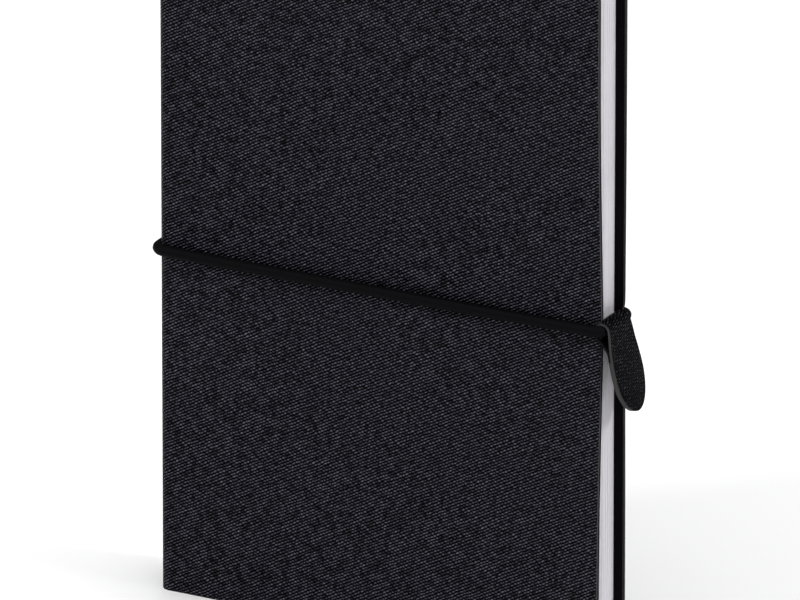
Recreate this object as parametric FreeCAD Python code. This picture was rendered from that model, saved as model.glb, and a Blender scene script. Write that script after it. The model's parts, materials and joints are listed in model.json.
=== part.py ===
import FreeCAD, Part
import math
import os
from FreeCAD import Vector

# Pocket notebook with a soft cover, sewn sections, an elastic closure and a folded pull tab.
# It stands on its tail. +X runs from the spine to the fore edge, +Y from the front cover to the
# back cover, +Z from tail to head. The origin is on the surface it stands on, under the middle of
# everything, the elastic and its tab included. Units are millimetres.

# Driving dimensions
WIDTH = 90.0
HEIGHT = 140.0
THICKNESS = 13.0
SKIN = 0.6                # imitation leather
CARD = 0.42               # stiffening card glued behind the leather
ENDPAPER = 0.16           # black endpaper, pasted to the card
FLYLEAF = 0.16            # the endpaper's loose half, in the same stock as the pages
CARD_INSET = 0.6          # the card stops short of the trimmed leather edge
CORNER_RADIUS = 3.0       # fore-edge corners of the covers
SPINE_RADIUS = 2.0        # outer corners of the wrapped spine
HINGE_INSET = 3.0         # from the spine's outer face to the cover's hinge line
HINGE_GAP = 0.1
MULL = 0.3                # lining cloth glued across the folds
SECTION_COUNT = 12
BODY_GAP = 0.03           # between pieces on different bodies
FORE_INSET = 1.9          # the covers reach past the pages by this much
TAIL_INSET = 2.0
FOLD_CHAMFER = 0.3

THREAD = 0.12
THREAD_DEPTH = 0.5        # from the back of the fold to the centre of the section
THREAD_CLEARANCE = 0.03
STITCH_STATIONS = 5
STITCH_INSET = 20.0       # first and last stitch holes from the ends of the section

CORD_DIAMETER = 2.2
CORD_GAP = 0.3            # between the elastic and the covers
CORD_DENT = 0.95          # the elastic sits this deep in the covers' fore edges
DENT_GAP = 0.04           # round the elastic in its dent
CORD_HEIGHT = 69.6        # at the middle of the thickness
CORD_SLOPE = 0.1          # the elastic falls this much per mm from front cover to back cover
CORD_TURN = 1.6           # radius of the centre line round each edge of the book
FERRULE_LENGTH = 8.0
FERRULE_WALL = 0.3
FERRULE_FIT = 0.02

TAB_LEAF = 0.45
TAB_BORE = 1.55           # inner radius of the fold round the ferrule
TAB_NECK = 9.0            # width at the fold
TAB_LOBE = 12.2           # width where the round end starts
TAB_LOBE_DROP = 12.5
TAB_LENGTH = 19.5         # from the cord's centre to the tip
TAB_JOIN = 6.5            # the two leaves are glued from here down
TAB_TILT = 13.0           # degrees, tip away from the pages

BOOK_X = -1.4             # middle of the book: the tab reaches further out than the elastic

# Derived positions
SPINE_X = BOOK_X - WIDTH / 2
FORE_X = BOOK_X + WIDTH / 2
FRONT_Y = -THICKNESS / 2
BACK_Y = THICKNESS / 2
HINGE_X = SPINE_X + HINGE_INSET
COVER = SKIN + CARD + ENDPAPER
FOLD_X = SPINE_X + SKIN + MULL + 3 * BODY_GAP
PAGE_X = FORE_X - FORE_INSET
BLOCK_FRONT = FRONT_Y + COVER + BODY_GAP
BLOCK_BACK = BACK_Y - COVER - BODY_GAP
LEAVES_FRONT = BLOCK_FRONT + FLYLEAF
LEAVES_BACK = BLOCK_BACK - FLYLEAF
SECTION_PITCH = (LEAVES_BACK - LEAVES_FRONT) / SECTION_COUNT
CORD_RADIUS = CORD_DIAMETER / 2
CORD_X = FORE_X - CORD_DENT + DENT_GAP + CORD_RADIUS
CORD_BACK_X = SPINE_X - CORD_GAP - CORD_RADIUS
CORD_Y = BACK_Y + CORD_GAP + CORD_RADIUS
CORD_AXIS = Vector(CORD_X, 0, CORD_HEIGHT)
CORD_LEAN = -math.degrees(math.atan(CORD_SLOPE))

UP = Vector(0, 0, 1)


def box(low, high):
    """Box between two opposite corners."""
    return Part.makeBox(high[0] - low[0], high[1] - low[1], high[2] - low[2], Vector(*low))


def save(shape, node):
    shape.exportStep(f"parts/{node}.step")


def elastic_loop(radius):
    """Closed loop round the book: straight runs joined by tangent quarter turns, then tipped."""
    half_x = (CORD_X - CORD_BACK_X) / 2
    straight_x = half_x - CORD_TURN
    straight_y = CORD_Y - CORD_TURN
    middle = Vector((CORD_X + CORD_BACK_X) / 2, 0, CORD_HEIGHT)
    pieces = []
    for side in (-1, 1):
        start = middle + Vector(-straight_x, side * CORD_Y, 0)
        pieces.append(Part.makeCylinder(radius, 2 * straight_x, start, Vector(1, 0, 0)))
        start = middle + Vector(side * half_x, -straight_y, 0)
        pieces.append(Part.makeCylinder(radius, 2 * straight_y, start, Vector(0, 1, 0)))
    for quarter, (sx, sy) in enumerate(((1, 1), (-1, 1), (-1, -1), (1, -1))):
        centre = middle + Vector(sx * straight_x, sy * straight_y, 0)
        angle = math.radians(90 * quarter)
        start = centre + Vector(math.cos(angle), math.sin(angle), 0) * CORD_TURN
        along = Vector(-math.sin(angle), math.cos(angle), 0)
        disc = Part.Face(Part.Wire(Part.makeCircle(radius, start, along)))
        pieces.append(disc.revolve(centre, UP, 90))
    loop = pieces[0].multiFuse(pieces[1:]).removeSplitter()
    loop.rotate(middle, Vector(1, 0, 0), CORD_LEAN)
    run = 4 * (straight_x + straight_y) + 2 * math.pi * CORD_TURN
    return loop, run


def cover_sheet(front, back, inset):
    """Flat layer of a cover: two round corners, and a dent where the elastic crosses its edge."""
    radius = CORNER_RADIUS - inset
    sheet = box((HINGE_X + HINGE_GAP, front, inset), (FORE_X - inset, back, HEIGHT - inset))
    corners = [
        edge
        for edge in sheet.Edges
        if edge.BoundBox.YLength > 0.5 * (back - front)
        and edge.BoundBox.XMin > FORE_X - inset - 0.1
    ]
    room, _ = elastic_loop(CORD_RADIUS + DENT_GAP)
    return sheet.makeFillet(radius, corners).cut(room)


def cover_layers(side):
    """Leather, card and endpaper of one cover, from the outside in."""
    layers = {}
    depth = THICKNESS / 2
    stack = (("skin", SKIN, 0.0), ("card", CARD, CARD_INSET), ("endpaper", ENDPAPER, 0.0))
    for layer, thick, inset in stack:
        near, far = sorted((side * depth, side * (depth - thick)))
        layers[layer] = cover_sheet(near, far, inset)
        depth -= thick
    return layers


def spine_skin():
    """The leather where it wraps the spine, with short legs up to both hinge lines."""
    outer = box((SPINE_X, FRONT_Y, 0), (HINGE_X, BACK_Y, HEIGHT))
    corners = [
        edge
        for edge in outer.Edges
        if edge.BoundBox.ZLength > HEIGHT / 2 and edge.BoundBox.XMax < SPINE_X + 0.1
    ]
    outer = outer.makeFillet(SPINE_RADIUS, corners)
    inner = box(
        (SPINE_X + SKIN, FRONT_Y + SKIN, -1),
        (HINGE_X + 1, BACK_Y - SKIN, HEIGHT + 1),
    )
    corners = [
        edge
        for edge in inner.Edges
        if edge.BoundBox.ZLength > HEIGHT / 2 and edge.BoundBox.XMax < SPINE_X + SKIN + 0.1
    ]
    return outer.cut(inner.makeFillet(SPINE_RADIUS - SKIN, corners))


def spine_mull():
    """Lining cloth between the leather and the folds of the sections."""
    back = SPINE_X + SKIN + BODY_GAP
    reach = SPINE_RADIUS - SKIN
    return box(
        (back, FRONT_Y + SKIN + reach, TAIL_INSET),
        (back + MULL, BACK_Y - SKIN - reach, HEIGHT - TAIL_INSET),
    )


def flyleaf(front):
    """Loose half of an endpaper."""
    return box((FOLD_X, front, TAIL_INSET), (PAGE_X, front + FLYLEAF, HEIGHT - TAIL_INSET))


def stitch_comb(middle, grow):
    """Sewing thread: one run inside the fold, with a leg out through each stitch hole."""
    half = THREAD / 2 + grow
    run_x = FOLD_X + THREAD_DEPTH
    low = TAIL_INSET + STITCH_INSET
    high = HEIGHT - TAIL_INSET - STITCH_INSET
    comb = box((run_x - half, middle - half, low - half), (run_x + half, middle + half, high + half))
    for station in range(STITCH_STATIONS):
        z = low + station * (high - low) / (STITCH_STATIONS - 1)
        leg = box((FOLD_X, middle - half, z - half), (run_x, middle + half, z + half))
        comb = comb.fuse(leg)
    return comb.removeSplitter()


def section(index):
    """One folded and sewn section of leaves, with its thread."""
    front = LEAVES_FRONT + index * SECTION_PITCH
    back = front + SECTION_PITCH - BODY_GAP
    leaves = box((FOLD_X, front, TAIL_INSET), (PAGE_X, back, HEIGHT - TAIL_INSET))
    fold = [
        edge
        for edge in leaves.Edges
        if edge.BoundBox.ZLength > HEIGHT / 2 and edge.BoundBox.XMax < FOLD_X + 0.1
    ]
    leaves = leaves.makeChamfer(FOLD_CHAMFER, fold)
    middle = (front + back) / 2
    return leaves.cut(stitch_comb(middle, THREAD_CLEARANCE)), stitch_comb(middle, 0.0)


def elastic_cord():
    """Round elastic at its stretched length."""
    loop, run = elastic_loop(CORD_RADIUS)
    volume = math.pi * CORD_RADIUS**2 * run
    print(f"elastic: {run:.1f} mm round, turns of {CORD_TURN} mm radius")
    print(f"elastic: volume {loop.Volume:.1f}, section times length {volume:.1f}")
    return loop


def cord_ferrule():
    """Crimped sleeve that joins the two ends of the elastic, inside the tab's fold."""
    start = CORD_AXIS - Vector(0, FERRULE_LENGTH / 2, 0)
    along = Vector(0, 1, 0)
    inner = CORD_RADIUS + FERRULE_FIT
    sleeve = Part.makeCylinder(inner + FERRULE_WALL, FERRULE_LENGTH, start, along)
    sleeve = sleeve.cut(Part.makeCylinder(inner, FERRULE_LENGTH, start, along))
    sleeve.rotate(CORD_AXIS, Vector(1, 0, 0), CORD_LEAN)
    return sleeve


def fold_wire(radius, bottom):
    """Outline of the fold: half a circle over the cord, with two straight legs below it."""
    left = Vector(-radius, 0, 0)
    right = Vector(radius, 0, 0)
    edges = [Part.Arc(left, Vector(0, 0, radius), right).toShape()]
    corners = [right] + bottom + [left]
    edges += [Part.makeLine(a, b) for a, b in zip(corners, corners[1:])]
    return Part.Wire(edges)


def pull_tab():
    """Leather folded over the ferrule and glued to itself: a teardrop that hangs plumb."""
    outer = TAB_BORE + TAB_LEAF
    glued = [
        Vector(TAB_LEAF, 0, -TAB_JOIN),
        Vector(TAB_LEAF, 0, -TAB_LENGTH),
        Vector(-TAB_LEAF, 0, -TAB_LENGTH),
        Vector(-TAB_LEAF, 0, -TAB_JOIN),
    ]
    profile = Part.Face(fold_wire(outer, glued))
    bore = Part.Face(fold_wire(TAB_BORE, [Vector(0, 0, TAB_LEAF - TAB_JOIN)]))
    across = Vector(0, TAB_LOBE + 2, 0)
    strip = profile.cut(bore).extrude(across)
    strip.translate(-across / 2)

    top = outer + 1
    neck = [Vector(0, side * TAB_NECK / 2, top) for side in (-1, 1)]
    lobe = [Vector(0, side * TAB_LOBE / 2, -TAB_LOBE_DROP) for side in (-1, 1)]
    tip = Vector(0, 0, -TAB_LENGTH)
    outline = Part.Wire(
        [
            Part.makeLine(neck[1], neck[0]),
            Part.makeLine(neck[0], lobe[0]),
            Part.Arc(lobe[0], tip, lobe[1]).toShape(),
            Part.makeLine(lobe[1], neck[1]),
        ]
    )
    blank = Part.Face(outline).extrude(Vector(2 * top, 0, 0))
    blank.translate(Vector(-top, 0, 0))
    tab = strip.common(blank)
    tab.rotate(Vector(0, 0, 0), Vector(0, 1, 0), -TAB_TILT)
    hang = FreeCAD.Matrix()
    hang.A32 = -CORD_SLOPE
    tab = tab.transformGeometry(hang)
    tab.translate(CORD_AXIS)
    return tab


def main():
    os.makedirs("parts", exist_ok=True)
    for name, side in (("front", -1), ("back", 1)):
        for layer, sheet in cover_layers(side).items():
            save(sheet, f"{name}_cover_{layer}")
    save(spine_skin(), "spine_skin")
    save(spine_mull(), "spine_mull")
    save(flyleaf(BLOCK_FRONT), "front_flyleaf")
    save(flyleaf(LEAVES_BACK), "back_flyleaf")
    for index in range(SECTION_COUNT):
        leaves, thread = section(index)
        save(leaves, f"section_{index + 1:02d}")
        save(thread, f"thread_{index + 1:02d}")
    save(elastic_cord(), "elastic_cord")
    save(cord_ferrule(), "cord_ferrule")
    save(pull_tab(), "pull_tab")


main()
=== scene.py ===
import json
import math
import random

import bpy
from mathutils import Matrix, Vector


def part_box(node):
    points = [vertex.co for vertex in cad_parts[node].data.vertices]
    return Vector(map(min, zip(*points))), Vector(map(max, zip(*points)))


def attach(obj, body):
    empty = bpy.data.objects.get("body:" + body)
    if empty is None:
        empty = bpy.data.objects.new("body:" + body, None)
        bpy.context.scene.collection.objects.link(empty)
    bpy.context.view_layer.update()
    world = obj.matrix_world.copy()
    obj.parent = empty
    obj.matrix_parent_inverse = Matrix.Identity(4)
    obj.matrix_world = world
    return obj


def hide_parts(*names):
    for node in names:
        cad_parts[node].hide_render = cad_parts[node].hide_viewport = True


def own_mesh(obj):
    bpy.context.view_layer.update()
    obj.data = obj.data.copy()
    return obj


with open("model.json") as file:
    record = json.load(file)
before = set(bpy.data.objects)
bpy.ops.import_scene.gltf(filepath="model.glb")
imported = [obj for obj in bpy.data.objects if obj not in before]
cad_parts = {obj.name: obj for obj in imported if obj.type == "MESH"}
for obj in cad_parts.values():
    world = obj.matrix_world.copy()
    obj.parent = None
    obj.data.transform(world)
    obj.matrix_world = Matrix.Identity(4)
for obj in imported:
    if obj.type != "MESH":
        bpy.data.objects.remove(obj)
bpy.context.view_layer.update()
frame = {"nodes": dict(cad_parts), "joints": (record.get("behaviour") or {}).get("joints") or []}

MM = 0.001
chance = random.Random(7)


# ---------------------------------------------------------------- places, from the frame

def joint(name):
    """The frame's joint of that name."""
    return next(j for j in frame["joints"] if j["name"] == name)


SKIN_LOW, SKIN_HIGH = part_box("front_cover_skin")
SPINE_LOW, SPINE_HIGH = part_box("spine_skin")
PAGE_LOW, PAGE_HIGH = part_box("section_01")
MULL_LOW, MULL_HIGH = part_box("spine_mull")
FERRULE_LOW, FERRULE_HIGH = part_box("cord_ferrule")

FRONT_Y = SPINE_LOW.y
BACK_Y = SPINE_HIGH.y
SPINE_X = SPINE_LOW.x
FORE_X = SKIN_HIGH.x
HINGE_X = SPINE_HIGH.x
HEAD_Z = SPINE_HIGH.z
SKIN = SKIN_HIGH.y - SKIN_LOW.y
SPINE_RADIUS = 2.0 * MM        # round edges of the spine
CORD_RADIUS = 1.1 * MM
SWING = joint("tab_swing")
CORD_FORE_X, _, CORD_Z = SWING["pos_m"]
CORD_SLOPE = -SWING["axis"][2] / SWING["axis"][1]      # fall from the front cover to the back
FOLD_X = PAGE_LOW.x
PAGE_X = PAGE_HIGH.x
SECTIONS = sum(name.startswith("section_") for name in frame["nodes"])
FAN_Y = {j["child"]: j["pos_m"][1] for j in frame["joints"] if j["name"].endswith("_fan")}

# How the elastic draws the book in at its fore edge
FRONT_PRESS = 1.9 * MM
BACK_PRESS = 0.35 * MM
PRESS_REACH = 21.0 * MM        # standard deviation along the edge
PRESS_TIP = 0.45 * PRESS_REACH  # fall-off of the sharper dip right at the elastic
TIP_SHARE = 0.2                # share of the press that is this dip
PRESS_POWER = 1.8              # the covers bend mostly far from the spine
CREASE_REACH = 1.6 * MM        # narrow groove right under the elastic
CREASE_DEPTH = 0.22 * MM
CREASE_AT_SPINE = 0.35         # share of the groove's depth at the spine
CORD_STAND = 0.9               # centre of the elastic off a cover, in radii
SPINE_STAND = 0.3 * CORD_RADIUS  # centre of the elastic off the spine
NOTCH_REACH = 0.8 * CORD_RADIUS  # dent that the elastic leaves in the covers' fore edges
NOTCH_DEPTH = FORE_X - CORD_FORE_X + 0.97 * CORD_RADIUS

COVER_CORNER = 3.0 * MM
PAGE_CORNER = 2.0 * MM
BOARD_INSET = 0.06 * MM        # the card stops short of the leather's edge
EDGE_ROUND = 0.14 * MM         # bevel of the leather's cut edges
LEAVES = 8                     # in each section
LEAF_HALF = 0.46               # half a leaf's thickness, in leaf pitches
UNEVEN = (-0.07, 0.05)         # mm by which a sheet may end short of the page edge or past it

# Folded tab: half widths, distances below the elastic, then how it hangs
TAB_NECK = 4.6 * MM
TAB_LOBE = 5.65 * MM
TAB_TIP = 0.3 * MM
TAB_FALL = 9.6 * MM            # where the round end starts
TAB_JOIN = 4.8 * MM            # where the two leaves meet
TAB_LENGTH = 17.7 * MM
TAB_LEAN = 0.93 * MM           # the inner leaf sweeps out to meet the straight outer one
TAB_START = -1.08 * MM         # the fold sits nearer the front cover
TAB_DRIFT = 1.0 * MM           # and the tip hangs towards the back cover
TAB_TILT = math.radians(10.2)
TAB_BOW = 0.35 * MM            # the tip is slightly hollow
TAB_LEAF = 0.46 * MM           # thickness of one leaf
TAB_BORE = CORD_RADIUS + 0.12 * MM
TAB_LOWER_ROWS = 16            # mesh rows of a leaf below the join
TAB_UPPER_ROWS = 8             # and above it
TAB_COLUMNS = 18


# ---------------------------------------------------------------- mesh helpers

SHARP_ANGLE = math.radians(40)
BEVELLED_SHARP_ANGLE = math.radians(50)


def make_object(name, verts, faces, materials, slots=None, smooth=True):
    """Mesh object at the origin; slots gives each face its material's index."""
    mesh = bpy.data.meshes.new(name)
    mesh.from_pydata([tuple(v) for v in verts], [], faces)
    for material in materials:
        mesh.materials.append(material)
    if slots:
        mesh.polygons.foreach_set("material_index", slots)
    mesh.validate()
    obj = bpy.data.objects.new(name, mesh)
    bpy.context.scene.collection.objects.link(obj)
    if smooth:
        mesh.shade_smooth()
        mesh.set_sharp_from_angle(angle=SHARP_ANGLE)
    return obj


def soften(obj, width, start_x):
    """Rounds the sharp edges beyond start_x and keeps the result in the mesh."""
    edges = obj.data.edges
    verts = obj.data.vertices
    weights = obj.data.attributes.new("bevel_weight_edge", "FLOAT", "EDGE")
    for edge in edges:
        ends = [verts[v].co.x for v in edge.vertices]
        if edge.use_edge_sharp and max(ends) > start_x:
            weights.data[edge.index].value = 1.0
    bevel = obj.modifiers.new("soft_edges", "BEVEL")
    bevel.width = width
    bevel.segments = 2
    bevel.limit_method = "WEIGHT"
    graph = bpy.context.evaluated_depsgraph_get()
    mesh = bpy.data.meshes.new_from_object(obj.evaluated_get(graph))
    obj.modifiers.clear()
    obj.data = mesh
    mesh.shade_smooth()
    mesh.set_sharp_from_angle(angle=BEVELLED_SHARP_ANGLE)


def stand(obj, body, slot, *nodes):
    """Rides on a body and stands for the CAD nodes given; slot is not used."""
    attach(obj, body)
    if nodes:
        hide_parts(*nodes)


def press(x, y, z):
    """Shift along Y at a point of the book, drawn in by the elastic."""
    along = min(max((x - SPINE_X) / (FORE_X - SPINE_X), 0.0), 1.0)
    off = z - CORD_Z
    wide = math.exp(-0.5 * (off / PRESS_REACH) ** 2)
    near = math.exp(-abs(off) / PRESS_TIP)
    amount = along ** PRESS_POWER * ((1 - TIP_SHARE) * wide + TIP_SHARE * near)
    through = (y - FRONT_Y) / (BACK_Y - FRONT_Y)
    return amount * (FRONT_PRESS * (1 - through) - BACK_PRESS * through)


def cord_y(x, side):
    """Y of the elastic's centre line over a cover, on the pressed-in face."""
    y = side * BACK_Y
    return y + press(x, y, CORD_Z) + side * CORD_STAND * CORD_RADIUS


def cord_z(y):
    """Height of the elastic: one plane, lower at the back cover."""
    return CORD_Z - CORD_SLOPE * y


def crease(x, z, side):
    """Shallow groove that the elastic leaves in the outer face of a cover."""
    along = min(max((x - SPINE_X) / (FORE_X - SPINE_X), 0.0), 1.0)
    depth = CREASE_DEPTH * (CREASE_AT_SPINE + (1 - CREASE_AT_SPINE) * along)
    off = z - cord_z(cord_y(x, side))
    return -side * depth * math.exp(-0.5 * (off / CREASE_REACH) ** 2)


def notch(z, side):
    """Depth of the dent that the elastic leaves in a cover's fore edge."""
    off = z - cord_z(cord_y(FORE_X, side))
    return NOTCH_DEPTH * math.exp(-0.5 * (off / NOTCH_REACH) ** 2)


def rows_for(low, high, corner, fine):
    """Heights of the mesh rows: close together round the corners and at the elastic."""
    rows = {low, high}
    turn_steps = 7
    for step in range(turn_steps + 1):
        rise = corner * (1 - math.cos(math.radians(90 * step / turn_steps)))
        rows.update((low + rise, high - rise))
    body_step = 4.0 * MM
    count = round((high - low - 2 * corner) / body_step)
    rows.update(low + corner + (high - low - 2 * corner) * i / count for i in range(count + 1))
    if fine:
        steps = 12
        reach = 6.0 * MM
        rows.update(CORD_Z + reach * i / steps for i in range(-steps, steps + 1))
    rows = sorted(rows)
    least = 0.02 * MM
    kept = [rows[0]]
    for z in rows[1:]:
        if z - kept[-1] > least:
            kept.append(z)
    return kept


def edge_x(z, low, high, fore, corner):
    """Fore-edge position of a sheet with round corners at height z."""
    rise = min(z - low, high - z)
    if rise >= corner:
        return fore
    return fore - corner + math.sqrt(max(corner ** 2 - (corner - rise) ** 2, 0.0))


# ---------------------------------------------------------------- covers

def cover_piece(name, side, start, end, depths, inset, materials, groove):
    """One layer of a cover between two depths, pressed in by the elastic. side is -1 in front.

    The columns crowd towards the fore edge, where the bend is.
    """
    low, high = inset, HEAD_Z - inset
    fore = end - inset
    corner = COVER_CORNER - inset
    rows = rows_for(low, high, corner, True)
    columns = 26
    crowding = 1.4
    verts = []
    for y in depths:
        for z in rows:
            last = edge_x(z, low, high, fore, corner) - notch(z, side)
            for column in range(columns + 1):
                share = column / columns
                x = start + (last - start) * (1 - (1 - share) ** crowding)
                shift = press(x, y, z)
                if groove:
                    shift += crease(x, z, side)
                verts.append((x, y + shift, z))
    wide = columns + 1
    layer_size = wide * len(rows)
    faces, slots = [], []

    def add(face, slot):
        faces.append(face if side < 0 else face[::-1])
        slots.append(slot)

    for r in range(len(rows) - 1):
        for c in range(columns):
            a = r * wide + c
            add((a, a + 1, a + wide + 1, a + wide), 0)
            b = a + layer_size
            add((b, b + wide, b + wide + 1, b + 1), 0)
    rim = list(range(wide))
    rim += [r * wide + columns for r in range(1, len(rows))]
    rim += [(len(rows) - 1) * wide + c for c in range(columns - 1, -1, -1)]
    rim += [r * wide for r in range(len(rows) - 2, 0, -1)]
    for a, b in zip(rim, rim[1:] + rim[:1]):
        add((a, a + layer_size, b + layer_size, b), 1)
    return make_object(name, verts, faces, materials, slots)


def make_covers(leather, back_leather, cut_edge, card, endpaper):
    """Leather, card and lining of the front and back covers."""
    for side, word in ((-1, "front"), (1, "back")):
        skin_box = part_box(f"{word}_cover_skin")
        paper_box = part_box(f"{word}_cover_endpaper")
        start, end = HINGE_X, skin_box[1].x
        outer = side * BACK_Y
        skin_in = outer - side * SKIN
        paper_in = paper_box[0].y if side > 0 else paper_box[1].y
        paper_out = paper_box[1].y if side > 0 else paper_box[0].y
        grain = leather if side < 0 else back_leather
        body = f"{word}_cover"
        skin = cover_piece(
            f"{word}_leather", side, start, end, (outer, skin_in), 0.0, (grain, cut_edge), True
        )
        soften(skin, EDGE_ROUND, HINGE_X + 0.1 * MM)
        stand(skin, body, "cover_leather", f"{word}_cover_skin")
        depths = (skin_in, paper_out)
        board = cover_piece(
            f"{word}_board", side, start, end, depths, BOARD_INSET, (card, card), False
        )
        stand(board, body, "card", f"{word}_cover_card")
        depths = (paper_out, paper_in)
        lining = cover_piece(
            f"{word}_lining", side, start, end, depths, 0.0, (endpaper, cut_edge), False
        )
        stand(lining, body, "endpaper", f"{word}_cover_endpaper")


# ---------------------------------------------------------------- spine

def wrap_point(y, depth):
    """Point of the spine's section at rest position y across the thickness."""
    reach = SPINE_RADIUS - depth
    middle = min(max(y, FRONT_Y + SPINE_RADIUS), BACK_Y - SPINE_RADIUS)
    over = min(max((y - middle) / SPINE_RADIUS, -1.0), 1.0)
    return (SPINE_X + SPINE_RADIUS - reach * math.sqrt(1 - over ** 2), middle + reach * over)


def ribbon(outer, inner, rows, place=None):
    """Points and faces of a sheet between two matching lines in plan, carried up through the rows."""
    count = len(outer)
    loop = list(outer) + list(inner)[::-1]
    size = len(loop)
    verts = []
    for z in rows:
        for x, y in loop:
            verts.append(place(x, y, z) if place else (x, y, z))
    faces = []
    for r in range(len(rows) - 1):
        for i in range(size):
            j = (i + 1) % size
            a, b = r * size + i, r * size + j
            faces.append((a, a + size, b + size, b))
    top = (len(rows) - 1) * size
    for i in range(count - 1):
        o, n = i, size - 1 - i
        faces.append((o, o + 1, n - 1, n))
        faces.append((top + o, top + n, top + n - 1, top + o + 1))
    return verts, faces


def make_spine(leather, mull):
    """The leather round the spine, in strips that ride with the sections behind them."""
    order = sorted(FAN_Y, key=lambda body: FAN_Y[body])
    limits = [FAN_Y[body] for body in order]
    strips = []
    for index, body in enumerate(order):
        strips.append((body, FRONT_Y if index == 0 else limits[index - 1], limits[index]))
    strips.append(("back_cover", limits[-1], BACK_Y))
    corner = 1.0 * MM
    rows = rows_for(0.0, HEAD_Z, corner, True)
    for body, low, high in strips:
        steps = 14 if low == FRONT_Y or high == BACK_Y else 4
        shares = [0.5 * (1 - math.cos(math.pi * i / steps)) for i in range(steps + 1)]
        levels = [low + (high - low) * share for share in shares]
        outer = [wrap_point(y, 0.0) for y in levels]
        inner = [wrap_point(y, SKIN) for y in levels]
        if low == FRONT_Y:
            outer.insert(0, (HINGE_X, FRONT_Y))
            inner.insert(0, (HINGE_X, FRONT_Y + SKIN))
        if high == BACK_Y:
            outer.append((HINGE_X, BACK_Y))
            inner.append((HINGE_X, BACK_Y - SKIN))
        verts, faces = ribbon(outer, inner, rows)
        name = f"spine_leather_{body}"
        piece = make_object(name, verts, faces, (leather,))
        stand(piece, body, "cover_leather", "spine_skin")
    lining_rows = (MULL_LOW.z, MULL_HIGH.z)
    least = 0.05 * MM
    for body, low, high in strips:
        low, high = max(low, MULL_LOW.y), min(high, MULL_HIGH.y)
        if high - low < least:
            continue
        outer = [(MULL_LOW.x, low), (MULL_LOW.x, high)]
        inner = [(MULL_HIGH.x, low), (MULL_HIGH.x, high)]
        verts, faces = ribbon(outer, inner, lining_rows)
        piece = make_object(f"mull_{body}", verts, faces, (mull,), smooth=False)
        stand(piece, body, "mull", "spine_mull")


# ---------------------------------------------------------------- pages

def page_place(jitter):
    """Puts a leaf's point in place: round corners, pressed in at the elastic."""
    low, high = PAGE_LOW.z, PAGE_HIGH.z

    def place(x, y, z):
        fore = edge_x(z, low, high, PAGE_X + jitter, PAGE_CORNER)
        x = FOLD_X + (x - FOLD_X) * (fore - FOLD_X) / (PAGE_X - FOLD_X)
        return (x, y + press(x, y, z), z)

    return place


def leaf_line(start, end, count):
    """Evenly spaced places along a leaf."""
    return [start + (end - start) * i / count for i in range(count + 1)]


def make_section(index, paper):
    """A section of nested folded sheets, with the fold at the spine."""
    low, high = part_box(f"section_{index:02d}")
    pitch = (high.y - low.y) / LEAVES
    half = LEAF_HALF * pitch
    rows = rows_for(PAGE_LOW.z, PAGE_HIGH.z, PAGE_CORNER, False)
    verts, faces = [], []
    for sheet in range(LEAVES // 2):
        front = low.y + (sheet + 0.5) * pitch
        back = high.y - (sheet + 0.5) * pitch
        radius = (back - front) / 2
        centre_x = FOLD_X + sheet * pitch + pitch / 2 + radius
        line = [(x, front, (0, -1)) for x in leaf_line(PAGE_X, centre_x, 8)[:-1]]
        turn = 6
        for i in range(turn + 1):
            angle = math.radians(270 - 180 * i / turn)
            aim = (math.cos(angle), math.sin(angle))
            line.append((centre_x + radius * aim[0], (front + back) / 2 + radius * aim[1], aim))
        line += [(x, back, (0, 1)) for x in leaf_line(centre_x, PAGE_X, 8)[1:]]
        outer = [(x + half * n[0], y + half * n[1]) for x, y, n in line]
        inner = [(x - half * n[0], y - half * n[1]) for x, y, n in line]
        place = page_place(chance.uniform(*UNEVEN) * MM)
        new_verts, new_faces = ribbon(outer, inner, rows, place)
        base = len(verts)
        verts += new_verts
        faces += [tuple(base + v for v in face) for face in new_faces]
    piece = make_object(f"folded_section_{index:02d}", verts, faces, (paper,))
    stand(piece, f"leaves_{index:02d}", "page_paper", f"section_{index:02d}")


def make_flyleaf(word, body, paper):
    """Loose half of an endpaper, between a cover and the sections."""
    low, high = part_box(f"{word}_flyleaf")
    xs = leaf_line(low.x, high.x, 14)
    rows = rows_for(PAGE_LOW.z, PAGE_HIGH.z, PAGE_CORNER, False)
    outer = [(x, low.y) for x in xs]
    inner = [(x, high.y) for x in xs]
    verts, faces = ribbon(outer[::-1], inner[::-1], rows, page_place(0.0))
    piece = make_object(f"{word}_loose_leaf", verts, faces, (paper,))
    stand(piece, body, "page_paper", f"{word}_flyleaf")


# ---------------------------------------------------------------- elastic and tab

def cord_surface(x, side):
    """Y of the elastic's centre line, sunk in the groove it has made in a cover."""
    y = cord_y(x, side)
    return y + crease(x, cord_z(y), side)


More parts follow.
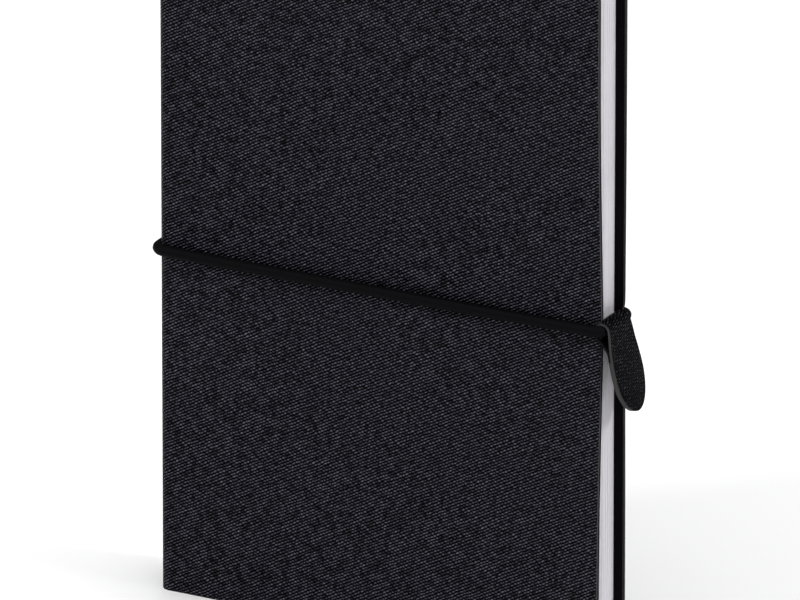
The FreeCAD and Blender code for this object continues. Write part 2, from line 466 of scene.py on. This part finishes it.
def cord_line():
    """Closed centre line of the elastic round the pressed-in book."""
    fore_turn = CORD_RADIUS + 0.35 * MM
    spine_turn = SPINE_RADIUS + SPINE_STAND
    cover_steps, fore_steps, spine_steps, turn_steps = 40, 12, 8, 6
    start, end = SPINE_X + SPINE_RADIUS, CORD_FORE_X - fore_turn
    points = []

    def corner(x, y, first_angle, radius):
        for i in range(turn_steps + 1):
            angle = math.radians(first_angle + 90 * i / turn_steps)
            points.append((x + radius * math.cos(angle), y + radius * math.sin(angle)))

    for i in range(cover_steps + 1):
        x = start + (end - start) * i / cover_steps
        points.append((x, cord_surface(x, -1)))
    corner(end, points[-1][1] + fore_turn, 270, fore_turn)
    front_end = points[-1][1]
    back_start = cord_surface(end, 1) - fore_turn
    for i in range(1, fore_steps):
        points.append((CORD_FORE_X, front_end + (back_start - front_end) * i / fore_steps))
    corner(end, back_start, 0, fore_turn)
    for i in range(1, cover_steps + 1):
        x = end + (start - end) * i / cover_steps
        points.append((x, cord_surface(x, 1)))
    corner(start, points[-1][1] - spine_turn, 90, spine_turn)
    low_y = points[0][1] + spine_turn
    high_y = points[-1][1]
    for i in range(1, spine_steps):
        points.append((SPINE_X - SPINE_STAND, high_y + (low_y - high_y) * i / spine_steps))
    corner(start, low_y, 180, spine_turn)
    return points[:-1]


def make_cord(material):
    """Round braided elastic as a closed tube."""
    line = [Vector((x, y, cord_z(y))) for x, y in cord_line()]
    rise = Vector((0, 0, 1))
    sides = 20
    verts, faces = [], []
    count = len(line)
    for i, point in enumerate(line):
        along = (line[(i + 1) % count] - line[i - 1]).normalized()
        out = along.cross(rise)
        for s in range(sides):
            angle = 2 * math.pi * s / sides
            aim = out * math.cos(angle) + rise * math.sin(angle)
            verts.append(point + aim * CORD_RADIUS)
    for i in range(count):
        for s in range(sides):
            a, b = i * sides + s, i * sides + (s + 1) % sides
            c = (i + 1) % count * sides
            faces.append((a, c + s, c + (s + 1) % sides, b))
    cord = make_object("elastic_band", verts, faces, (material,))
    stand(cord, "elastic", "elastic", "elastic_cord")
    return cord


def tab_width(drop):
    """Half width of the tab at a distance below the elastic."""
    if drop <= TAB_FALL:
        share = max(drop, 0.0) / TAB_FALL
        return TAB_NECK + (TAB_LOBE - TAB_NECK) * math.sin(share * math.pi / 2)
    share = min((drop - TAB_FALL) / (TAB_LENGTH - TAB_FALL), 1.0)
    return TAB_LOBE * math.sqrt(max(1 - share ** 2, 0.0))


def tab_leaf(side):
    """Middle line of one leaf in the tab's section, tip first. side is -1 for the inner leaf."""
    hung = TAB_LEAN + side * TAB_LEAF / 2
    top = side * (TAB_BORE + TAB_LEAF / 2)
    points = []
    for i in range(TAB_LOWER_ROWS):
        share = 1 - math.cos(math.radians(90 * i / TAB_LOWER_ROWS))
        points.append((hung, -TAB_LENGTH + (TAB_LENGTH - TAB_JOIN) * share))
    for i in range(TAB_UPPER_ROWS):
        share = i / TAB_UPPER_ROWS
        ease = share * share * (3 - 2 * share)
        points.append((hung + (top - hung) * ease, -TAB_JOIN * (1 - share)))
    return points


def tab_profile():
    """Middle line of the folded strip, from the inner leaf's tip over the fold to the outer's."""
    turn = 12
    reach = TAB_BORE + TAB_LEAF / 2
    angles = [math.radians(180 - 180 * i / turn) for i in range(turn + 1)]
    fold = [(reach * math.cos(angle), reach * math.sin(angle)) for angle in angles]
    return tab_leaf(-1) + fold + tab_leaf(1)[::-1]


def fore_middle():
    """Middle of the elastic's run across the fore edge."""
    fore_y = [y for x, y in cord_line() if x > FORE_X]
    middle = (min(fore_y) + max(fore_y)) / 2
    return Vector((CORD_FORE_X, middle, cord_z(middle)))


def tab_surface(profile, normals, side):
    """Points of one face of the strip: trimmed to a teardrop, bowed, tilted and swept."""
    centre = fore_middle()
    verts = []
    for (x, z), normal in zip(profile, normals):
        width = max(tab_width(-z), TAB_TIP)
        hang = min(max(-z / TAB_LENGTH, 0.0), 1.0)
        for c in range(TAB_COLUMNS + 1):
            y = width * math.sin(math.radians(-90 + 180 * c / TAB_COLUMNS))
            bow = TAB_BOW * (1 - (y / TAB_LOBE) ** 2) * hang
            px = x + normal.x * side * TAB_LEAF / 2 + bow
            pz = z + normal.y * side * TAB_LEAF / 2
            turned_x = px * math.cos(TAB_TILT) - pz * math.sin(TAB_TILT)
            turned_z = px * math.sin(TAB_TILT) + pz * math.cos(TAB_TILT)
            turned_z -= CORD_SLOPE * (y + TAB_START) * (1 - hang)
            turned_y = y + TAB_START * (1 - hang) + TAB_DRIFT * hang
            verts.append(centre + Vector((turned_x, turned_y, turned_z)))
    return verts


def make_tab(leather, cut_edge, backing_and_painted_shade):
    """Strip of leather folded over the elastic and glued to itself."""
    profile = tab_profile()
    count = len(profile)
    normals = []
    for i in range(count):
        a = Vector(profile[max(i - 1, 0)])
        b = Vector(profile[min(i + 1, count - 1)])
        along = (b - a).normalized()
        normals.append(Vector((-along.y, along.x)))
    verts = tab_surface(profile, normals, 1) + tab_surface(profile, normals, -1)
    wide = TAB_COLUMNS + 1
    size = wide * count
    faces, slots = [], []
    for r in range(count - 1):
        for c in range(TAB_COLUMNS):
            a = r * wide + c
            faces.append((a, a + wide, a + wide + 1, a + 1))
            slots.append(0)
            b = a + size
            faces.append((b, b + 1, b + wide + 1, b + wide))
            slots.append(2)
    rim = list(range(wide))
    rim += [r * wide + TAB_COLUMNS for r in range(1, count)]
    rim += [(count - 1) * wide + c for c in range(TAB_COLUMNS - 1, -1, -1)]
    rim += [r * wide for r in range(count - 2, 0, -1)]
    # Painted shade: above the join the inner leaf's cut edge takes the dark backing, to stand for the
    # shadow between the leaves
    shaded = range(TAB_LOWER_ROWS * wide, (TAB_LOWER_ROWS + TAB_UPPER_ROWS + 2) * wide)
    for a, b in zip(rim, rim[1:] + rim[:1]):
        faces.append((a, b, b + size, a + size))
        slots.append(2 if a in shaded else 1)
    tab = make_object("folded_tab", verts, faces, (leather, cut_edge, backing_and_painted_shade), slots)
    stand(tab, "tab", "tab_leather", "pull_tab")
    return tab


def make_crimp(material):
    """Thin crimped sleeve over the joined ends of the elastic, hidden by the tab's fold.

    It is shorter than its CAD solid, so that no brass shows beside the fold.
    """
    centre = fore_middle()
    half = 0.34 * (FERRULE_HIGH.y - FERRULE_LOW.y)
    outer = CORD_RADIUS + 0.09 * MM
    inner = CORD_RADIUS + 0.01 * MM
    dent = 0.04 * MM
    crimps = 3
    verts, faces = [], []
    sides, rings = 24, 16
    for ring in range(rings + 1):
        y = -half + 2 * half * ring / rings
        pinch = dent * (0.5 + 0.5 * math.cos(2 * crimps * math.pi * ring / rings))
        for reach in (outer - pinch, inner):
            for s in range(sides):
                angle = 2 * math.pi * s / sides
                rise = reach * math.sin(angle) - CORD_SLOPE * y
                verts.append(centre + Vector((reach * math.cos(angle), y, rise)))
    for ring in range(rings):
        for s in range(sides):
            n = (s + 1) % sides
            a, b = ring * 2 * sides, (ring + 1) * 2 * sides
            faces.append((a + s, b + s, b + n, a + n))
            faces.append((a + sides + s, a + sides + n, b + sides + n, b + sides + s))
    for ring, flip in ((0, False), (rings, True)):
        for s in range(sides):
            n = (s + 1) % sides
            a = ring * 2 * sides
            face = (a + s, a + n, a + sides + n, a + sides + s)
            faces.append(face[::-1] if flip else face)
    crimp = make_object("crimp_sleeve", verts, faces, (material,))
    stand(crimp, "elastic", "ferrule", "cord_ferrule")
    return crimp


def tuck_behind(piece):
    """Gives the piece a mesh of its own."""
    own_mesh(piece)


# ---------------------------------------------------------------- materials

class Nodes:
    """Small helper that adds and links shader nodes."""

    def __init__(self, name):
        self.material = bpy.data.materials.new(name)
        self.material.use_nodes = True
        self.tree = self.material.node_tree
        self.shader = self.tree.nodes["Principled BSDF"]

    def add(self, kind, values=(), **settings):
        node = self.tree.nodes.new(kind)
        for key, value in settings.items():
            setattr(node, key, value)
        for key, value in values:
            self.give(node.inputs[key], value)
        return node

    def give(self, socket, value):
        if isinstance(value, bpy.types.NodeSocket):
            self.tree.links.new(value, socket)
        else:
            socket.default_value = value

    def math(self, operation, a, b=0.0, c=0.0):
        node = self.add("ShaderNodeMath", operation=operation)
        for socket, value in zip(node.inputs, (a, b, c)):
            self.give(socket, value)
        return node.outputs[0]

    def noise(self, vector, scale, detail=2.0, roughness=0.5):
        """Noise from 0 to 1; scale is the number of blotches in a metre."""
        node = self.add("ShaderNodeTexNoise", (("Vector", vector), ("Scale", scale)))
        node.inputs["Detail"].default_value = detail
        node.inputs["Roughness"].default_value = roughness
        return node.outputs["Fac"]

    def ramp(self, value, stops):
        node = self.add("ShaderNodeValToRGB", (("Fac", value),))
        elements = node.color_ramp.elements
        while len(elements) < len(stops):
            elements.new(0.5)
        for element, (place, shade) in zip(elements, stops):
            element.position = place
            rgb = shade if isinstance(shade, tuple) else (shade, shade, shade)
            element.color = rgb + (1,)
        return node.outputs["Color"]

    def bump(self, height, distance, strength=1.0):
        node = self.add("ShaderNodeBump", (("Height", height),))
        node.inputs["Distance"].default_value = distance
        node.inputs["Strength"].default_value = strength
        return node.outputs["Normal"]


def grain_and_painted_glint(name, across, along, dark, light, gloss=0.02, stops=(0.06, 0.34, 0.9), share=0.16):
    """Pressed cross grain: two crossed sets of fine ridges, broken into short dashes.
    Its colour holds painted highlights on the dashes and painted shade in the pits.

    across and along are the x, y and z weights of the unrolled leather's two directions. stops
    place the painted pit shade, the middle colour and the painted glint colour, and share is how
    light the middle one is.
    """
    n = Nodes(name)
    place = n.add("ShaderNodeTexCoord").outputs["Object"]
    wobble = n.noise(place, 260.0, 2.0)
    slow = n.noise(place, 45.0, 2.0)

    def flat(weights):
        node = n.add("ShaderNodeVectorMath", (("Vector", place),), operation="DOT_PRODUCT")
        node.inputs[1].default_value = weights
        return node.outputs["Value"]

    s, t = flat(across), flat(along)
    jitter = n.noise(place, 800.0, 1.0)

    def ridges(angle, pitch, wander, loose):
        """Parallel ridges at an angle; wander bends them slowly and loose breaks them up."""
        turn = math.radians(angle)
        run = n.math("MULTIPLY", s, -math.sin(turn))
        phase = n.math("MULTIPLY_ADD", t, math.cos(turn), run)
        phase = n.math("MULTIPLY", phase, 2 * math.pi / pitch)
        shift = n.math("MULTIPLY", wobble, wander)
        shift = n.math("MULTIPLY_ADD", slow, wander * 1.5, shift)
        shift = n.math("MULTIPLY_ADD", jitter, loose, shift)
        wave = n.math("SINE", n.math("ADD", phase, shift))
        return n.math("MULTIPLY_ADD", wave, 0.5, 0.5)

    first = ridges(angle=30.0, pitch=0.56 * MM, wander=3.0, loose=3.5)
    second = ridges(angle=-35.0, pitch=0.66 * MM, wander=5.0, loose=9.0)
    dash = n.math("MULTIPLY", first, n.math("MULTIPLY_ADD", second, 0.68, 0.32))
    height = n.math("MULTIPLY_ADD", first, 0.35, dash)
    grit = n.noise(place, 2600.0, 2.0)
    height = n.math("MULTIPLY_ADD", grit, 0.35, height)
    normal = n.bump(height, 0.3 * MM, 1.0)
    patch = n.noise(place, 1300.0, 2.0, 0.6)
    # Painted highlight and shade: light base colour on the dashes stands for their glints, near-black
    # in the pits for their shade
    painted_glint = n.math("MULTIPLY", dash, n.math("MULTIPLY_ADD", patch, 2.2, -0.35))
    middle = tuple(d + share * (l - d) for d, l in zip(dark, light))
    colour = n.ramp(painted_glint, tuple(zip(stops, (dark, middle, light))))
    n.give(n.shader.inputs["Base Color"], colour)
    rough = n.math("MULTIPLY_ADD", dash, -0.2, 0.42)
    n.give(n.shader.inputs["Roughness"], rough)
    n.give(n.shader.inputs["Normal"], normal)
    n.shader.inputs["Specular IOR Level"].default_value = gloss
    return n.material


def cut_leather(name, colour_low, colour_high):
    """Trimmed edge of the leather, slightly paler and fibrous."""
    n = Nodes(name)
    place = n.add("ShaderNodeTexCoord").outputs["Object"]
    fibre = n.noise(place, 3500.0, 3.0, 0.7)
    n.give(n.shader.inputs["Base Color"], n.ramp(fibre, ((0.3, colour_low), (0.75, colour_high))))
    n.shader.inputs["Roughness"].default_value = 0.8
    n.give(n.shader.inputs["Normal"], n.bump(fibre, 0.05 * MM, 0.6))
    return n.material


def smooth_paper(name, low, high, rough, tooth, gloss=0.3):
    """Paper with faint cloudiness and fibre tooth."""
    n = Nodes(name)
    place = n.add("ShaderNodeTexCoord").outputs["Object"]
    cloud = n.noise(place, 60.0, 3.0)
    fibre = n.noise(place, 4000.0, 3.0, 0.65)
    mix = n.math("MULTIPLY_ADD", fibre, 0.35, n.math("MULTIPLY", cloud, 0.65))
    n.give(n.shader.inputs["Base Color"], n.ramp(mix, ((0.3, low), (0.7, high))))
    n.shader.inputs["Roughness"].default_value = rough
    n.shader.inputs["Specular IOR Level"].default_value = gloss
    n.give(n.shader.inputs["Normal"], n.bump(fibre, tooth, 0.5))
    return n.material


def woven(name, dark, light, pitch, rough):
    """Plain weave, for the thread and the lining cloth."""
    n = Nodes(name)
    place = n.add("ShaderNodeTexCoord").outputs["Object"]
    split = n.add("ShaderNodeSeparateXYZ", (("Vector", place),))
    warp = n.math("SINE", n.math("MULTIPLY", split.outputs["Z"], 2 * math.pi / pitch))
    weft = n.math("SINE", n.math("MULTIPLY", split.outputs["Y"], 2 * math.pi / pitch))
    weave = n.math("MULTIPLY_ADD", n.math("MULTIPLY", warp, weft), 0.5, 0.5)
    n.give(n.shader.inputs["Base Color"], n.ramp(weave, ((0.2, dark), (0.8, light))))
    n.shader.inputs["Roughness"].default_value = rough
    n.give(n.shader.inputs["Normal"], n.bump(weave, 0.05 * MM, 0.7))
    return n.material


def braid(name, dark, light):
    """Round elastic with a fine braided cover."""
    n = Nodes(name)
    place = n.add("ShaderNodeTexCoord").outputs["Object"]
    split = n.add("ShaderNodeSeparateXYZ", (("Vector", place),))
    run = n.math("ADD", split.outputs["X"], split.outputs["Y"])
    up = n.math("SUBTRACT", split.outputs["Z"], CORD_Z)
    strand = 0.42 * MM
    turns = 2 * math.pi / strand
    one = n.math("SINE", n.math("MULTIPLY", n.math("ADD", run, up), turns))
    two = n.math("SINE", n.math("MULTIPLY", n.math("SUBTRACT", run, up), turns))
    strands = n.math("MULTIPLY_ADD", n.math("MAXIMUM", one, two), 0.5, 0.5)
    fuzz = n.noise(place, 5000.0, 2.0)
    height = n.math("MULTIPLY_ADD", fuzz, 0.4, strands)
    n.give(n.shader.inputs["Base Color"], n.ramp(strands, ((0.2, dark), (0.95, light))))
    n.shader.inputs["Roughness"].default_value = 0.6
    n.shader.inputs["Specular IOR Level"].default_value = 0.035
    n.give(n.shader.inputs["Normal"], n.bump(height, 0.04 * MM, 0.6))
    return n.material


def crimped_brass(name, dull, bright):
    """Brass with fine tool marks."""
    n = Nodes(name)
    place = n.add("ShaderNodeTexCoord").outputs["Object"]
    marks = n.noise(place, 900.0, 3.0)
    n.give(n.shader.inputs["Base Color"], n.ramp(marks, ((0.3, dull), (0.7, bright))))
    n.shader.inputs["Metallic"].default_value = 1.0
    n.give(n.shader.inputs["Roughness"], n.math("MULTIPLY_ADD", marks, 0.3, 0.25))
    n.give(n.shader.inputs["Normal"], n.bump(marks, 0.05 * MM, 0.5))
    return n.material


# ---------------------------------------------------------------- camera, light and floor

def add_camera():
    """Camera at the viewing angle, far off for a near-parallel view; the aim frames the closure."""
    azimuth, elevation = math.radians(25.12), math.radians(24.81)
    distance = 4.4
    field = 148.5 * MM                     # width of the view at the object
    aim_x = (SPINE_X + FORE_X) / 2 + 1.86 * MM
    shift_right, shift_up = -0.11 * MM, -3.6 * MM
    back = Vector(
        (
            math.sin(azimuth) * math.cos(elevation),
            -math.cos(azimuth) * math.cos(elevation),
            math.sin(elevation),
        )
    )
    right = Vector((math.cos(azimuth), math.sin(azimuth), 0))
    up = back.cross(right)
    aim = Vector((aim_x, 0.0, HEAD_Z / 2)) + right * shift_right + up * shift_up
    data = bpy.data.cameras.new("camera")
    data.sensor_width = 36.0
    data.lens = data.sensor_width * distance / field
    data.clip_start = 0.1
    data.clip_end = 100.0
    camera = bpy.data.objects.new("camera", data)
    bpy.context.scene.collection.objects.link(camera)
    camera.rotation_euler = back.to_track_quat("Z", "Y").to_euler()
    camera.location = aim + back * distance
    bpy.context.scene.camera = camera


def add_light(name, place, aim, size, power):
    """Rectangular soft light, aimed at a point."""
    data = bpy.data.lights.new(name, "AREA")
    data.shape = "RECTANGLE"
    data.size, data.size_y = size
    data.energy = power
    light = bpy.data.objects.new(name, data)
    light.location = place
    light.rotation_euler = (Vector(aim) - Vector(place)).to_track_quat("-Z", "Y").to_euler()
    bpy.context.scene.collection.objects.link(light)


def add_studio():
    """Even white surroundings, three soft lights and a pale floor."""
    world = bpy.data.worlds.new("studio")
    world.use_nodes = True
    background = world.node_tree.nodes["Background"]
    background.inputs["Color"].default_value = (1, 1, 1, 1)
    background.inputs["Strength"].default_value = 0.10
    bpy.context.scene.world = world
    bpy.context.scene.view_settings.view_transform = "Standard"
    add_light("overhead", (0.1, 0.2, 1.6), (0, 0, 0), (2.4, 2.4), 33.0)
    add_light("key", (-0.9, -1.1, 1.35), (0, 0, 0.07), (0.5, 0.5), 18.0)
    add_light("side", (1.5, 0.1, 1.1), (0, 0, 0.07), (0.3, 0.3), 13.0)
    n = Nodes("pale_floor")
    place = n.add("ShaderNodeTexCoord").outputs["Object"]
    cloud = n.noise(place, 3.0, 2.0)
    n.give(n.shader.inputs["Base Color"], n.ramp(cloud, ((0.3, 0.90), (0.7, 0.92))))
    n.shader.inputs["Roughness"].default_value = 0.9
    size = 6.0
    corners = [(-size, -size, 0), (size, -size, 0), (size, size, 0), (-size, size, 0)]
    floor = make_object("floor", corners, [(0, 1, 2, 3)], (n.material,), smooth=False)


# ---------------------------------------------------------------- making

add_camera()
add_studio()

# Painted shade and highlight of the grain: dark colours the pits, light colours the glints on the
# dashes
dark = (0.0004, 0.0004, 0.0006)
light = (0.160, 0.152, 0.200)
front_grain = grain_and_painted_glint("cross_grain_front", (1, -1, 0), (0, 0, 1), dark, light)
back_grain = grain_and_painted_glint("cross_grain_back", (-1, -1, 0), (0, 0, 1), dark, light)
tab_painted_glint = (0.088, 0.082, 0.115)
tab_grain = grain_and_painted_glint(
    "cross_grain_tab",
    (0, 0.5, 0),
    (-0.9, 0, 1),
    dark,
    tab_painted_glint,
    gloss=0.005,
    stops=(0.2, 0.5, 0.95),
    share=0.05,
)
edge_leather = cut_leather("cut_edge", (0.006, 0.006, 0.007), (0.020, 0.020, 0.022))
tab_edge = cut_leather("tab_cut_edge", (0.014, 0.014, 0.014), (0.034, 0.034, 0.033))
black_paper = smooth_paper(
    "black_endpaper", (0.0022, 0.0016, 0.0024), (0.0045, 0.0034, 0.0048), 0.7, 0.02 * MM, 0.03
)
black_card = smooth_paper(
    "black_card", (0.003, 0.003, 0.0035), (0.007, 0.007, 0.008), 0.8, 0.03 * MM, 0.05
)
page_paper = smooth_paper("page_paper", (0.68, 0.66, 0.70), (0.76, 0.74, 0.78), 0.85, 0.02 * MM)
mull_cloth = woven("mull_cloth", (0.30, 0.28, 0.24), (0.62, 0.60, 0.54), 0.6 * MM, 0.9)
linen = woven("linen_thread", (0.45, 0.43, 0.38), (0.75, 0.73, 0.68), 0.2 * MM, 0.7)
elastic = braid("elastic_braid", (0.0010, 0.0010, 0.0014), (0.0034, 0.0034, 0.0042))
brass = crimped_brass("crimped_brass", (0.42, 0.30, 0.13), (0.72, 0.56, 0.28))

make_covers(front_grain, back_grain, edge_leather, black_card, black_paper)
make_spine(front_grain, mull_cloth)
for number in range(1, SECTIONS + 1):
    make_section(number, page_paper)
make_flyleaf("front", "leaves_01", page_paper)
make_flyleaf("back", f"leaves_{SECTIONS:02d}", page_paper)
closure = [make_cord(elastic), make_tab(tab_grain, tab_edge, black_card), make_crimp(brass)]
for piece in closure:
    tuck_behind(piece)

# Only the threads are still in sight among the CAD nodes, so all of them take the linen
for node in frame["nodes"].values():
    node.data.materials.clear()
    node.data.materials.append(linen)
